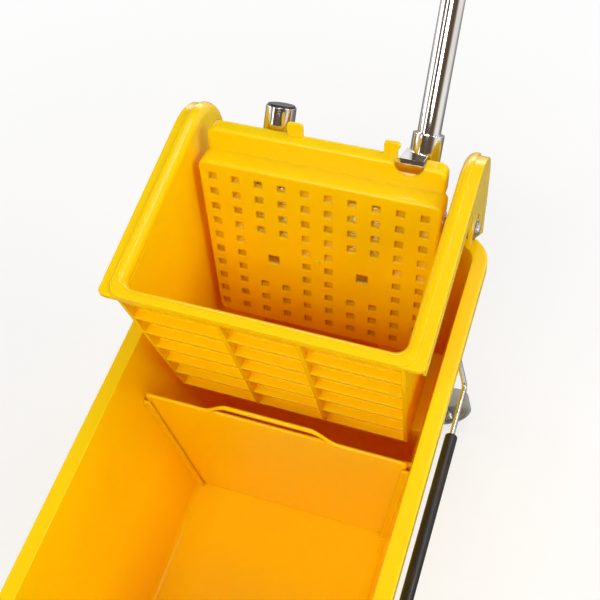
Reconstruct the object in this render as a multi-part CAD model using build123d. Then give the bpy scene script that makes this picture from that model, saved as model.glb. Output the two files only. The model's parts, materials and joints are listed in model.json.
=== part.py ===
# Mop bucket on swivel casters with a lift-off down-press wringer.
# X runs across the bucket, Y runs to the wringer end, Z is up. Millimetres.
# The origin is on the floor under the middle of the tub.
import os
from math import cos, radians, sin, sqrt, tan

from build123d import *

# Fits
run_gap = 0.08        # radial play of a turning fit
seat_gap = 0.3        # play between a piece and the seat it rests on
slide_gap = 0.6       # play of a panel in its guides
fixed_gap = 0.1       # radial play of a fastened pin

# Caster
wheel_diameter = 50.0
tyre_width = 20.0
tyre_thickness = 6.0
hub_recess = 4.0
axle_diameter = 6.0
axle_head = 10.0
caster_trail = 18.0
caster_turn = 24.0
caster_inset_x = 39.9
caster_inset_y = 42.0
fork_plate = 2.5
fork_side_gap = 1.5
fork_crown_gap = 4.0
fork_crown = 3.0
race_height = 2.7
race_diameter = 26.0
kingpin_diameter = 8.0
kingpin_head = 2.8
stem_flange = 4.0
stem_diameter = 11.0
stem_length = 34.0

# Tub
tub_width = 275.8
tub_length = 480.0
tub_depth = 216.0
tub_draft = 7.4
tub_wall = 3.0
tub_floor = 3.5
rim_flange = 13.0
rim_thickness = 3.0
rim_lip = 14.0
mouth_corner = 16.0
floor_fillet = 8.0
boss_diameter = 34.0
boss_drop = 6.5
boss_rise = 48.0

# Carrying bails
bail_wire = 4.5
bail_grip_diameter = 10.5
bail_grip_length = 156.0
bail_span = 252.0
bail_slope = 20.0
bail_drop = 36.0
bail_flare = 15.5
bail_below_rim = 28.0
bail_bend = 9.0
bail_lug = 8.0

# Divider panel
divider_thickness = 3.5
divider_height = 175.0
divider_lip = 9.0
divider_lip_height = 8.0
divider_behind = 1.8
hold_left = 63.0
hold_right = 58.0
hold_rise = 15.0
hold_slit = 9.0
guide_rib = 3.0
guide_depth = 6.0

# Wringer basket
wringer_reach = 201.2
wringer_above = 102.0
wringer_below = 86.0
basket_side_gap = 12.9
basket_draft = 1.9
basket_wall = 3.0
flange_outside = 1.1
flange_thickness = 4.0
flange_lip = 16.0
lip_wall = 2.5
flange_corner = 5.0
flange_rise = 5.3
front_rim = 12.0
bead_height = 2.0
bead_inset = 8.0
bead_round = 12.0
roll_radius = 8.0
roll_depth = 12.0
mouth_round = 9.0
front_overhang = 1.5
front_lean = 9.3
front_sheet = 2.6
tread_rows = 6
tread_depth = 8.3
tread_pitch = 29.5
rib_width = 3.5
side_columns = 0.36
slot_width = 8.0
slot_height = 4.0
slot_pitch = 19.6
ear_radius = 48.0
ear_behind = 14.0
ear_drop = 44.0
skirt_front = 68.0
skirt_hook = 9.0
skirt_taper = 3.0
skirt_waist = 13.0
skirt_hole = 13.0
back_wall_inset = 37.0
back_wall_rise = 96.0
drain_slots = 5
drain_slot = 6.0
ledge_width = 16.0
ledge_length = 80.0

# Press pivot
pivot_ahead = 33.0
pivot_above = 52.0
rod_diameter = 10.0
boss_radius = 15.0
boss_out = 7.0
washer_diameter = 20.0
washer_thickness = 1.6
nut_across = 16.0
nut_height = 8.0
rod_overhang = 2.5
spring_wire = 2.4
spring_radius = 8.0
spring_turns = 4
bush_wall = 2.0
bush_length = 14.0
sleeve_wall = 3.0

# Press plate
plate_lean = 10.3
plate_ahead = 39.4
plate_side_gap = 6.0
plate_top_drop = 2.7
plate_floor_gap = 10.1
ledge_depth = 18.0
plate_wall = 3.0
plate_corner = 8.0
plate_edge = 3.0
band_height = 20.3
band_shelf = 11.9
hole_columns = 10
hole_rows = 10
hole_margin_x = 13.0
hole_margin_y = 14.75
hole_width = 7.2
hole_height = 7.5
blank_columns = (2, 3, 6, 7)
blank_rows = (4, 5, 6)
bolt_square = 10.0
bolt_diameter = 6.0
plate_nut_across = 10.0
plate_nut_height = 4.8
bolt_pad = 20.0
tab_width = 13.0
tab_height = 12.0
tab_inset_left = 76.7
tab_inset_right = 49.0
notch_radius = 12.0
notch_offset = 5.4
notch_raise = 1.7

# Lever
lever_angle = 50.0
socket_diameter = 25.5
socket_reach = 70.0
socket_depth = 46.0
socket_ahead = 8.0
handle_inset = 27.4
spare_inset = 53.8
handle_diameter = 19.0
handle_length = 441.0
handle_wall = 1.5
grip_diameter = 26.0
grip_length = 120.0
cap_dome = 2.0
cap_inset = 1.0
strap_width = 22.0
strap_thickness = 4.0
web_thickness = 6.0
toe_thickness = 6.0
toe_gap = 0.4
gusset_inset = 2.0
gusset_reach = 56.0
gusset_depth = 10.0

# Heights that follow from the caster stack
wheel_radius = wheel_diameter / 2
crown_under = wheel_diameter + fork_crown_gap
crown_top = crown_under + fork_crown
race_top = crown_top + race_height
mount_z = race_top + seat_gap + stem_flange
floor_z = mount_z + boss_drop + tub_floor
rim_z = floor_z + tub_depth

# Tub plan
rim_half = tub_width / 2
rim_back = tub_length / 2
bail_eye_y = bail_span / 2 + bail_slope
bail_lug_y = bail_eye_y + bail_bend + bail_lug / 2
mouth_half = rim_half - rim_flange
mouth_back = rim_back - rim_flange
wall_lean = tan(radians(tub_draft))
caster_x = rim_half - caster_inset_x
caster_y = rim_back - caster_inset_y

# Wringer places
front_y = rim_back - wringer_reach
flange_z = rim_z + wringer_above
basket_z = rim_z - wringer_below
flange_half = mouth_half + flange_outside
basket_half = mouth_half - basket_side_gap
basket_lean = tan(radians(basket_draft))
ear_y = rim_back + ear_behind
rise = radians(flange_rise)
pivot_y = rim_back - pivot_ahead
pivot_z = rim_z + pivot_above
ear_center_y = ear_y - ear_radius
ear_center_z = flange_z + (ear_center_y - front_y) * tan(rise) - ear_radius / cos(rise)
rim_run = (ear_center_y - ear_radius * sin(rise) - front_y) / cos(rise)
rim_frame = Plane(origin=(0, front_y, flange_z), x_dir=(1, 0, 0), z_dir=(0, -sin(rise), cos(rise)))
roll_x = basket_half - basket_wall
bead_x = flange_half - bead_inset
front_plane_y = front_y + front_overhang
front_tilt = radians(front_lean)
front_depth = tread_depth + 2 * front_sheet
divider_y = front_y - divider_behind - divider_lip / 2
divider_top = floor_z + divider_height

# Press places
plate_tilt = radians(plate_lean)
plate_low_z = basket_z + plate_floor_gap
plate_top_z = flange_z - plate_top_drop
plate_height = (plate_top_z - plate_low_z) / cos(plate_tilt)
plate_half_top = roll_x - plate_side_gap
plate_depth = ledge_depth + plate_wall
plate_y = pivot_y - plate_ahead
plate_z = (plate_low_z + plate_top_z) / 2
hole_pitch_x = 2 * (plate_half_top - hole_margin_x) / (hole_columns - 1)
hole_pitch_y = (plate_height - 2 * hole_margin_y) / (hole_rows - 1)
bolt_offset = (blank_columns[2] + blank_columns[3] + 1 - hole_columns) / 2 * hole_pitch_x
handle_socket = plate_half_top - handle_inset
spare_socket = spare_inset - plate_half_top
tab_places = (tab_inset_left - plate_half_top, plate_half_top - tab_inset_right)
notch_place = handle_socket - notch_offset
toe_level = plate_height / 2 + band_height + notch_raise
plate_frame = Plane(
    origin=(0, plate_y, plate_z), x_dir=(1, 0, 0), z_dir=(0, -cos(plate_tilt), sin(plate_tilt))
)
lever_tilt = radians(lever_angle)
lever_dir = (0, cos(lever_tilt), sin(lever_tilt))
lever_side = (0, -sin(lever_tilt), cos(lever_tilt))
rod_radius = rod_diameter / 2
bush_radius = rod_radius + run_gap + bush_wall
sleeve_radius = bush_radius + sleeve_wall


def tub_half(z):
    """Inner half width of the tub at a height."""
    return mouth_half - (rim_z - z) * wall_lean


def tub_back(z):
    """Inner half length of the tub at a height."""
    return mouth_back - (rim_z - z) * wall_lean


def basket_side(z):
    """Outer half width of the wringer basket at a height."""
    return basket_half - (flange_z - z) * basket_lean


def front_face(z):
    """Y of the basket's front ribs at a height."""
    return front_plane_y + (flange_z - z) * tan(front_tilt)


def tapered(top_z, bottom_z, grow):
    """A drafted block between two heights, the tub's inside grown outwards."""
    ends = []
    for z in (top_z, bottom_z):
        outline = RectangleRounded(2 * (tub_half(z) + grow), 2 * (tub_back(z) + grow), mouth_corner + grow)
        ends.append(Pos(0, 0, z) * outline)
    return loft(ends, ruled=True)


def cylinder_between(start, direction, radius, length):
    """A cylinder from a point along a direction."""
    return extrude(Plane(origin=start, z_dir=direction) * Circle(radius), amount=length)


def x_cylinder(x0, x1, y, z, radius):
    """A cylinder along X."""
    return cylinder_between((x0, y, z), (1, 0, 0), radius, x1 - x0)


def side_profile(points, x0, x1):
    """A YZ outline extruded along X."""
    plane = Plane(origin=(x0, 0, 0), x_dir=(0, 1, 0), z_dir=(1, 0, 0))
    return extrude(plane * make_face(Polyline(*points, close=True)), amount=x1 - x0)


def both_sides(piece):
    """A piece and its mirror image across the middle."""
    return piece + mirror(piece, about=Plane.YZ)


# Tub with rolled rim, caster corners, bail lugs, divider guides and wringer ledges
def make_tub():
    cavity = tapered(rim_z, floor_z, 0)
    cavity = fillet(cavity.faces().sort_by(Axis.Z)[0].edges(), floor_fillet)
    shell = tapered(rim_z, floor_z - tub_floor, tub_wall)
    rim_corner = mouth_corner + rim_flange
    rim = RectangleRounded(tub_width, tub_length, rim_corner)
    shell += extrude(Pos(0, 0, rim_z - rim_thickness) * rim, amount=rim_thickness)
    lip = rim - RectangleRounded(tub_width - 2 * tub_wall, tub_length - 2 * tub_wall, rim_corner - tub_wall)
    shell += extrude(Pos(0, 0, rim_z - rim_lip) * lip, amount=rim_lip)
    corners = GridLocations(2 * caster_x, 2 * caster_y, 2, 2)
    boss = Pos(0, 0, mount_z) * extrude(Circle(boss_diameter / 2), amount=boss_rise)
    boss = fillet(boss.faces().sort_by(Axis.Z)[-1].edges(), boss_diameter / 5)
    shell += [place * boss for place in corners]
    shell -= cavity
    shell = fillet(shell.faces().sort_by(Axis.Z)[-1].outer_wire().edges(), rim_thickness / 2)
    bore = Pos(0, 0, mount_z) * extrude(Circle(stem_diameter / 2 + fixed_gap), amount=stem_length + seat_gap)
    shell -= [place * bore for place in corners]
    shell += both_sides(make_bail_lugs() + make_guides() + make_ledge())
    return shell


def bail_pivot():
    """X and Z of the bail's hinge line, close to the tub wall under the rim."""
    z = rim_z - bail_below_rim
    return tub_half(z) + tub_wall + slide_gap + bail_wire / 2, z


def make_bail_lugs():
    x, z = bail_pivot()
    radius = bail_wire / 2 + tub_wall
    root_x = tub_half(z) + tub_wall / 2
    lugs = []
    for y in (-bail_lug_y, bail_lug_y):
        block = Pos(x, y, z) * Rot(90, 0, 0) * Cylinder(radius, bail_lug)
        arm = Pos((root_x + x) / 2, y, z) * Box(x - root_x, bail_lug, 2 * radius)
        hole = Pos(x, y, z) * Rot(90, 0, 0) * Cylinder(bail_wire / 2 + run_gap, 2 * bail_lug)
        lugs.append(block + arm - hole)
    return lugs[0] + lugs[1]


def make_guides():
    gap = divider_thickness / 2 + slide_gap
    ribs = []
    for side in (-1, 1):
        y = divider_y + side * (gap + guide_rib / 2)
        z = (floor_z, divider_top - divider_lip_height - seat_gap)
        points = [(tub_half(z[0]) - guide_depth, z[0]), (tub_half(z[0]) + tub_wall / 2, z[0])]
        points += [(tub_half(z[1]) + tub_wall / 2, z[1]), (tub_half(z[1]) - guide_depth, z[1])]
        plane = Plane(origin=(0, y - guide_rib / 2, 0), x_dir=(1, 0, 0), z_dir=(0, -1, 0))
        ribs.append(extrude(plane * make_face(Polyline(*points, close=True)), amount=-guide_rib))
    return ribs[0] + ribs[1]


def make_ledge():
    top = basket_z - seat_gap
    wall_x = tub_half(top) + tub_wall / 2
    tip_x = tub_half(top) - ledge_width
    low = top - ledge_width
    points = [(tip_x, top), (wall_x, top), (tub_half(low) + tub_wall / 2, low), (tip_x, top - tub_wall)]
    y = front_face(basket_z) + front_depth
    plane = Plane(origin=(0, y, 0), x_dir=(1, 0, 0), z_dir=(0, -1, 0))
    return extrude(plane * make_face(Polyline(*points, close=True)), amount=-ledge_length)


# Casters, drawn at the origin with the wheel trailing along +X
def make_stem():
    flange = Pos(0, 0, race_top + seat_gap) * extrude(Circle(race_diameter / 2 + 1), amount=stem_flange)
    pin = Pos(0, 0, mount_z) * extrude(Circle(stem_diameter / 2), amount=stem_length)
    head_z = crown_under - seat_gap - kingpin_head
    king = Pos(0, 0, head_z) * extrude(Circle(kingpin_diameter / 2), amount=mount_z - head_z)
    head = Pos(0, 0, head_z) * extrude(Circle(kingpin_diameter * 0.75), amount=kingpin_head)
    stem = flange + fillet(pin.edges().sort_by(Axis.Z)[-1], 2) + king
    return stem + fillet(head.edges().sort_by(Axis.Z)[0], kingpin_head / 2)


def make_fork():
    inside = tyre_width / 2 + fork_side_gap
    crown = Pos(0, 0, crown_under) * extrude(Circle(inside + fork_plate), amount=fork_crown)
    race = Pos(0, 0, crown_top) * extrude(Circle(race_diameter / 2), amount=race_height)
    eye = axle_diameter + fork_plate
    fork = crown + fillet(race.edges().sort_by(Axis.Z)[-1], 1)
    for side in (-1, 1):
        plane = Plane(origin=(0, side * (inside + fork_plate / 2), 0), x_dir=(1, 0, 0), z_dir=(0, -1, 0))
        arm = make_hull([
            *(Pos(caster_trail, wheel_radius) * Circle(eye)).edges(),
            *(Pos(-inside / 4, crown_top - fork_crown / 2) * Rectangle(inside, fork_crown)).edges(),
            *(Pos(inside / 2, crown_top - fork_crown / 2) * Rectangle(inside, fork_crown)).edges(),
        ])
        cheek = extrude(plane * arm, amount=fork_plate / 2, both=True)
        fork += cheek
    fork -= Pos(0, 0, crown_under) * Cylinder(kingpin_diameter / 2 + run_gap, 4 * race_height + fork_crown)
    start = (caster_trail, -2 * inside, wheel_radius)
    return fork - cylinder_between(start, (0, 1, 0), axle_diameter / 2 + fixed_gap, 4 * inside)


def make_axle():
    reach = tyre_width / 2 + fork_side_gap + fork_plate
    start = (caster_trail, -reach, wheel_radius)
    pin = cylinder_between(start, (0, 1, 0), axle_diameter / 2, 2 * reach)
    head = cylinder_between(start, (0, -1, 0), axle_head / 2, axle_diameter / 2)
    nut_plane = Plane(origin=(caster_trail, reach, wheel_radius), z_dir=(0, 1, 0))
    nut = extrude(nut_plane * RegularPolygon(axle_head / 2, 6), amount=axle_diameter / 2)
    return pin + head + nut


def wheel_section(points):
    """A wheel ring turned about the axle from (radius, offset) points."""
    plane = Plane(origin=(caster_trail, 0, wheel_radius), x_dir=(1, 0, 0), z_dir=(0, 0, 1))
    face = plane * make_face(Polyline(*points, close=True))
    return revolve(face, axis=Axis((caster_trail, 0, wheel_radius), (0, 1, 0)))


def make_hub():
    core = wheel_radius - tyre_thickness
    half = tyre_width / 2
    bore = axle_diameter / 2 + run_gap
    neck = axle_diameter
    web = half - hub_recess
    boss = half + fork_side_gap - seat_gap
    points = [(bore, -boss), (neck, -boss), (neck, -web), (core - hub_recess, -web), (core - 2, -half + 1)]
    points += [(core, -half + 1), (core, half - 1), (core - 2, half - 1), (core - hub_recess, web)]
    points += [(neck, web), (neck, boss), (bore, boss)]
    return wheel_section(points)


def make_tyre():
    core = wheel_radius - tyre_thickness
    half = tyre_width / 2
    points = [(core, -half), (wheel_radius, -half), (wheel_radius, half), (core, half)]
    ring = wheel_section(points)
    rims = ring.edges().filter_by(GeomType.CIRCLE).group_by(SortBy.RADIUS)[-1]
    return fillet(rims, tyre_thickness / 2)


# Carrying bail: bent wire with a moulded grip
def make_bail_wire():
    x, top = bail_pivot()
    out, low = x + bail_flare, top - bail_drop
    leg = bail_span / 2
    end = bail_lug_y + bail_lug / 2 + bail_wire / 2
    half = [(out, leg, low), (x, bail_eye_y, top), (x, end, top)]
    points = [(px, -py, pz) for px, py, pz in reversed(half)] + half
    path = FilletPolyline(*points, radius=bail_bend)
    return sweep(Plane(origin=path @ 0, z_dir=path % 0) * Circle(bail_wire / 2), path=path)


def make_bail_grip():
    x, top = bail_pivot()
    start = (x + bail_flare, -bail_grip_length / 2, top - bail_drop)
    grip = cylinder_between(start, (0, 1, 0), bail_grip_diameter / 2, bail_grip_length)
    grip = fillet(grip.edges().filter_by(GeomType.CIRCLE), bail_wire / 2)
    return grip - cylinder_between(start, (0, 1, 0), bail_wire / 2 + fixed_gap, bail_grip_length)


# Lift-out divider with a rolled top edge and a hand-hold loop
def make_divider():
    top = tub_half(divider_top) - slide_gap
    low_z = floor_z + seat_gap
    low = tub_half(low_z) - slide_gap
    round_off = floor_fillet + 1
    plane = Plane(origin=(0, divider_y, 0), x_dir=(1, 0, 0), z_dir=(0, -1, 0))
    points = [(-low, low_z), (low, low_z), (top, divider_top), (-top, divider_top)]
    sheet = make_face(Polyline(*points, close=True))
    sheet = fillet(sheet.vertices().group_by(Axis.Y)[0], round_off)
    panel = extrude(plane * sheet, amount=divider_thickness / 2, both=True)
    lip_z = divider_top - divider_lip_height / 2
    lip_half = tub_half(divider_top - divider_lip_height) - slide_gap
    lip = Pos(0, divider_y, lip_z) * Box(2 * lip_half, divider_lip, divider_lip_height)
    panel += fillet(lip.edges().filter_by(Axis.X), divider_lip_height / 3)
    arch_top = divider_top + hold_rise
    slope = hold_rise
    arch = [(-hold_left, lip_z), (hold_right, lip_z), (hold_right, divider_top)]
    arch += [(hold_right - slope, arch_top), (-hold_left + slope, arch_top), (-hold_left, divider_top)]
    loop = make_face(Polyline(*arch, close=True))
    loop = fillet(loop.vertices().group_by(Axis.Y)[-1], slope)
    middle = (hold_right - hold_left) / 2
    slit_length = hold_left + hold_right - 2 * slope
    slit_z = arch_top - divider_lip_height / 2 - hold_slit / 2
    slit = Pos(middle, slit_z) * SlotOverall(slit_length, hold_slit)
    ring = extrude(plane * loop, amount=divider_lip / 2, both=True)
    return panel + ring - extrude(plane * slit, amount=divider_lip, both=True)


# Wringer basket
def ear_curve(inset):
    """The top edge of a basket side, set in by a distance: rise, ear arc, rear edge."""
    radius = ear_radius - inset
    across = (-sin(rise), cos(rise))
    start = (front_y, flange_z - inset / cos(rise))
    meet = (ear_center_y + radius * across[0], ear_center_z + radius * across[1])
    middle = (ear_center_y + radius * cos(radians(45)), ear_center_z + radius * sin(radians(45)))
    turn = (ear_center_y + radius, ear_center_z)
    end = (ear_center_y + radius, ear_center_z - ear_drop)
    return [Line(start, meet), ThreePointArc(meet, middle, turn), Line(turn, end)]


def yz_face(edges):
    """A closed YZ outline as a face on the middle plane."""
    return Plane(origin=(0, 0, 0), x_dir=(0, 1, 0), z_dir=(1, 0, 0)) * make_face(edges)


def joined(edges):
    """Outline edges closed by straight lines between neighbours that do not meet."""
    closed = []
    for index, edge in enumerate(edges):
        after = edges[(index + 1) % len(edges)]
        closed.append(edge)
        if (edge @ 1 - after @ 0).length > 1e-6:
            closed.append(Line(edge @ 1, after @ 0))
    return closed


def backwards(edges):
    """The same outline run the other way."""
    turned = []
    for edge in reversed(edges):
        if edge.geom_type == GeomType.CIRCLE:
            turned.append(ThreePointArc(edge @ 1, edge @ 0.5, edge @ 0))
        else:
            turned.append(Line(edge @ 1, edge @ 0))
    return turned


def ear_strip(outer, inner, x0, x1):
    """A strip that follows an ear's arc and rear edge between two insets."""
    outline = joined(ear_curve(outer)[1:] + backwards(ear_curve(inner)[1:]))
    return extrude(Pos(x0, 0, 0) * yz_face(outline), amount=x1 - x0)


def make_ear():
    """The right-hand ear's top: rolled inner edge, flange and outer lip."""
    roll = ear_strip(-bead_height, roll_depth, roll_x, bead_x)
    inside = roll.edges().group_by(Axis.X)[0]
    crest = [inside.filter_by(GeomType.CIRCLE).sort_by(SortBy.RADIUS)[-1]]
    crest += [inside.filter_by(Axis.Z).sort_by(Axis.Y)[-1]]
    ear = fillet(crest, roll_radius) + ear_strip(0, flange_lip, bead_x, flange_half)
    return ear - ear_strip(flange_thickness, 2 * roll_depth, roll_x + basket_wall, flange_half - lip_wall)


def front_rounded(half_width, start, length, radius):
    """A plan rectangle whose two front corners are rounded."""
    plan = Pos(0, start + length / 2) * Rectangle(2 * half_width, length)
    return fillet(plan.vertices().group_by(Axis.Y)[0], radius)


def make_rim():
    """The flange round the front and sides of the mouth, as far as the ears."""
    length = 2 * rim_run
    outline = front_rounded(flange_half, 0, length, flange_corner)
    mouth = front_rounded(roll_x, front_rim, length, mouth_round)
    bead = front_rounded(bead_x, 0, length, bead_round)
    wall = front_rounded(roll_x + basket_wall, front_rim - basket_wall, length, mouth_round + basket_wall)
    rim = extrude(outline - mouth, amount=-flange_thickness)
    rim += extrude(wall - mouth, amount=-roll_depth)
    rim += extrude(bead - mouth, amount=bead_height)
    top = rim.faces().sort_by(Axis.Z)[-1]
    crest = [edge for edge in top.edges() if abs(edge.center().X) < roll_x + run_gap]
    crest = [edge for edge in crest if edge.center().Y > front_rim - run_gap]
    rim = fillet(crest, roll_radius)
    lip = Box(lip_wall, length, flange_lip)
    rim += both_sides(Pos(flange_half - lip_wall / 2, flange_corner + length / 2, -flange_lip / 2) * lip)
    beyond = Pos(0, rim_run + length / 2, 0) * Box(4 * flange_half, length, 8 * roll_depth)
    return rim_frame * (rim - beyond)


def make_basket_side():
    """The right-hand wall with its ear and skirt."""
    inset = roll_depth - bead_height
    top = ear_curve(inset)
    back_low_y = pivot_y - back_wall_inset / 2
    foot = (pivot_y, basket_z + back_wall_rise)
    start_z = flange_z - inset
    edge = [Line((front_face(basket_z), basket_z), (front_face(start_z), start_z))]
    edge += [Line(edge[0] @ 1, top[0] @ 1), top[1], top[2], Line(top[2] @ 1, foot)]
    edge += [Line(foot, (back_low_y, basket_z))]
    sheet = extrude(yz_face(joined(edge)), amount=-basket_wall)
    wall = Pos(basket_half, 0, flange_z) * Rot(0, basket_draft, 0) * Pos(0, 0, -flange_z) * sheet
    return wall + make_ear() + make_skirt() + pivot_boss()


def make_skirt():
    """The ear's outer cheek, which hooks behind the tub rim."""
    top = ear_curve(flange_thickness)
    start_y = ear_y - skirt_front
    start = (start_y, flange_z + (start_y - front_y) * tan(rise) - flange_thickness / cos(rise))
    meet = top[1] @ 0
    tail = (ear_y - flange_thickness, ear_center_z)
    points = [(ear_y, ear_center_z), (ear_y - skirt_taper, rim_z - skirt_hook)]
    points += [(pivot_y, pivot_z - skirt_waist), (start_y, pivot_z)]
    cheek = [Line(start, meet), top[1], Line(tail, points[0])]
    cheek += [Line(a, b) for a, b in zip(points, points[1:])]
    face = yz_face(joined(cheek))
    skirt = extrude(Pos(flange_half - lip_wall, 0, 0) * face, amount=lip_wall)
    return skirt - x_cylinder(0, 2 * flange_half, pivot_y, pivot_z, skirt_hole)


def pivot_boss():
    wall = basket_side(pivot_z)
    return x_cylinder(wall - basket_wall, wall + boss_out, pivot_y, pivot_z, boss_radius)


def tread_levels():
    """Heights of the front wall's level treads, from the floor up."""
    return [basket_z + basket_wall + row * tread_pitch for row in range(tread_rows)]


def make_front_wall():
    """Stepped front: level treads under overhanging risers, upright ribs and drain slots."""
    riser = tread_pitch - front_sheet
    slope = tread_depth / riser + tan(front_tilt)
    skin = front_sheet * sqrt(1 + slope**2)
    top = flange_z - flange_thickness / 2
    outer = [(front_face(basket_z), basket_z)]
    inner = [(front_face(basket_z) + skin, basket_z)]
    for z in tread_levels():
        lip_z = z + riser
        back = front_face(z) + tread_depth
        outer += [(front_face(z), z), (back, z), (front_face(lip_z), lip_z)]
        inner += [(back + skin + front_sheet * slope, z - front_sheet), (front_face(lip_z) + skin, lip_z)]
    outer += [(front_face(top), top)]
    inner += [(front_face(top) + skin, top)]
    wall = side_profile(outer + inner[::-1], -basket_half, basket_half)
    bounds = column_bounds()
    rib = [outer[0], outer[-1], inner[-1], (outer[0][0] + tread_depth + skin, basket_z)]
    for x in bounds[1:-1]:
        wall += side_profile(rib, x - rib_width / 2, x + rib_width / 2)
    cutter = Box(slot_width, 4 * skin, slot_height)
    cuts = []
    for low, high in zip(bounds, bounds[1:]):
        count = int((high - low) / slot_pitch)
        for z in tread_levels()[1:]:
            place = Pos((low + high) / 2, front_face(z) + tread_depth + skin / 2, z + slot_height / 2)
            cuts += [place * spot * cutter for spot in GridLocations(slot_pitch, 1, count, 1)]
    return wall - cuts


def column_bounds():
    """X of the louvre columns' edges: wide, narrow, wide."""
    edge = basket_side(flange_z)
    inner = edge * (1 - 2 * side_columns)
    return [-edge, -inner, inner, edge]


def make_basket():
    """The wringer basket as one moulding."""
    wedge_points = [(-basket_side(basket_z), basket_z), (basket_side(basket_z), basket_z)]
    wedge_points += [(basket_half, flange_z), (-basket_half, flange_z)]
    plane = Plane(origin=(0, 0, 0), x_dir=(1, 0, 0), z_dir=(0, -1, 0))
    wedge = extrude(plane * make_face(Polyline(*wedge_points, close=True)), amount=2 * tub_length, both=True)
    back_low_y = pivot_y - back_wall_inset / 2
    back_top = (pivot_y, basket_z + back_wall_rise)
    floor_points = [(front_face(basket_z), basket_z), (back_low_y, basket_z)]
    floor_points += [(back_low_y, basket_z + basket_wall), (front_face(basket_z), basket_z + basket_wall)]
    floor = side_profile(floor_points, -basket_half, basket_half)
    drain_y = (front_face(basket_z) + front_depth + back_low_y) / 2
    drain_room = back_low_y - front_face(basket_z) - front_depth - 4 * basket_wall
    drain_pitch = drain_room / drain_slots
    drain = extrude(SlotOverall(basket_half, drain_slot), amount=3 * basket_wall, both=True)
    drains = Pos(0, drain_y, basket_z) * GridLocations(1, drain_pitch, 1, drain_slots)
    floor -= [place * drain for place in drains]
    wall_points = [(back_low_y - basket_wall, basket_z), (back_low_y, basket_z), back_top]
    wall_points += [(back_top[0] - basket_wall, back_top[1])]
    back = side_profile(wall_points, -basket_half, basket_half)
    body = (make_front_wall() + floor + back) & wedge
    body += both_sides(make_basket_side())
    body += make_rim()
    return body - x_cylinder(-2 * flange_half, 2 * flange_half, pivot_y, pivot_z, rod_radius + fixed_gap)


# Pivot hardware
def boss_face():
    """X of the outer face of the pivot bosses."""
    return basket_side(pivot_z) + boss_out


def make_rod():
    end = boss_face() + washer_thickness + nut_height + rod_overhang
    rod = x_cylinder(-end, end, pivot_y, pivot_z, rod_radius)
    return chamfer(rod.edges().filter_by(GeomType.CIRCLE), rod_diameter / 10)


def make_washers():
    ring = x_cylinder(boss_face(), boss_face() + washer_thickness, pivot_y, pivot_z, washer_diameter / 2)
    ring -= x_cylinder(0, 2 * boss_face(), pivot_y, pivot_z, rod_radius + fixed_gap)
    return both_sides(ring)


def make_nuts():
    start = boss_face() + washer_thickness
    plane = Plane(origin=(start, pivot_y, pivot_z), z_dir=(1, 0, 0))
    nut = extrude(plane * RegularPolygon(nut_across / 2, 6, major_radius=False), amount=nut_height)
    nut -= x_cylinder(0, 2 * boss_face(), pivot_y, pivot_z, rod_radius + fixed_gap)
    return both_sides(nut)


def spring_span():
    """X of the spring's ends: the sleeve end and the basket wall."""
    outer = basket_side(pivot_z) - basket_wall - seat_gap
    return outer - spring_turns * (spring_wire + seat_gap) - spring_wire, outer


def make_spring():
    start, end = spring_span()
    coil_height = end - start - spring_wire
    path = Helix(pitch=coil_height / spring_turns, height=coil_height, radius=spring_radius)
    section = Plane(origin=path @ 0, z_dir=path % 0) * Circle(spring_wire / 2)
    coil = sweep(section, path=path, is_frenet=True)
    return Pos(start + spring_wire / 2, pivot_y, pivot_z) * Rot(0, 90, 0) * coil


# Press plate: perforated pan with a stepped top, tabs and a notch for the lever's toe
def make_plate():
    top = plate_height / 2
    low_half = plate_half_top - plate_height * basket_lean
    corners = [(-low_half, -top), (low_half, -top), (plate_half_top, top), (-plate_half_top, top)]
    outline = make_face(Polyline(*corners, close=True))
    outline = fillet(outline.vertices(), plate_corner)
    pan = extrude(outline, amount=-plate_depth)
    pan = fillet(pan.faces().sort_by(Axis.Z)[-1].edges(), plate_edge)
    hollow = offset(outline, amount=-plate_wall)
    pan -= Pos(0, 0, -plate_wall) * extrude(hollow, amount=-plate_depth)
    band_half = plate_half_top - plate_wall
    band = Pos(0, top + (band_height - plate_wall) / 2) * Rectangle(2 * band_half, band_height + plate_wall)
    band = fillet(band.vertices().group_by(Axis.Y)[-1], plate_corner)
    block = extrude(band, amount=-band_shelf)
    block = fillet(block.faces().sort_by(Axis.Z)[-1].edges().sort_by(Axis.Y)[1:], plate_edge)
    block -= Pos(0, 0, -plate_wall) * extrude(offset(band, amount=-plate_wall), amount=-band_shelf)
    pan += Pos(0, 0, -ledge_depth) * block
    for x in tab_places:
        tab = Pos(x, top + band_height + tab_height / 2, -ledge_depth - band_shelf + plate_wall / 2)
        block = Box(tab_width, tab_height, plate_wall)
        pan += tab * fillet(block.edges().filter_by(Axis.Z).group_by(Axis.Y)[-1], tab_width / 5)
    pads = [Pos(x, bolt_level(), -1.5 * plate_wall) for x in (-bolt_offset, bolt_offset)]
    pan += [pad * Box(bolt_pad, bolt_pad, plate_wall) for pad in pads]
    cuts = [Pos(notch_place, toe_level, -plate_depth) * Cylinder(notch_radius, 4 * band_shelf)]
    grid = GridLocations(hole_pitch_x, hole_pitch_y, hole_columns, hole_rows)
    for index, place in enumerate(grid):
        column, level = divmod(index, hole_rows)
        row = hole_rows - 1 - level
        if column in blank_columns and row in blank_rows:
            continue
        cuts.append(place * Box(hole_width, hole_height, 4 * plate_wall))
    pocket = bolt_square + 2 * fixed_gap
    for x in (-bolt_offset, bolt_offset):
        cuts.append(Pos(x, bolt_level(), 0) * Box(pocket, pocket, 2 * plate_wall))
        cuts.append(Pos(x, bolt_level(), 0) * Cylinder(bolt_diameter / 2 + fixed_gap, 8 * plate_wall))
    return plate_frame * (pan - cuts)


def bolt_level():
    """Height of the plate bolts in the plate's own frame."""
    return ((hole_rows - 1) / 2 - blank_rows[1]) * hole_pitch_y


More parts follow.
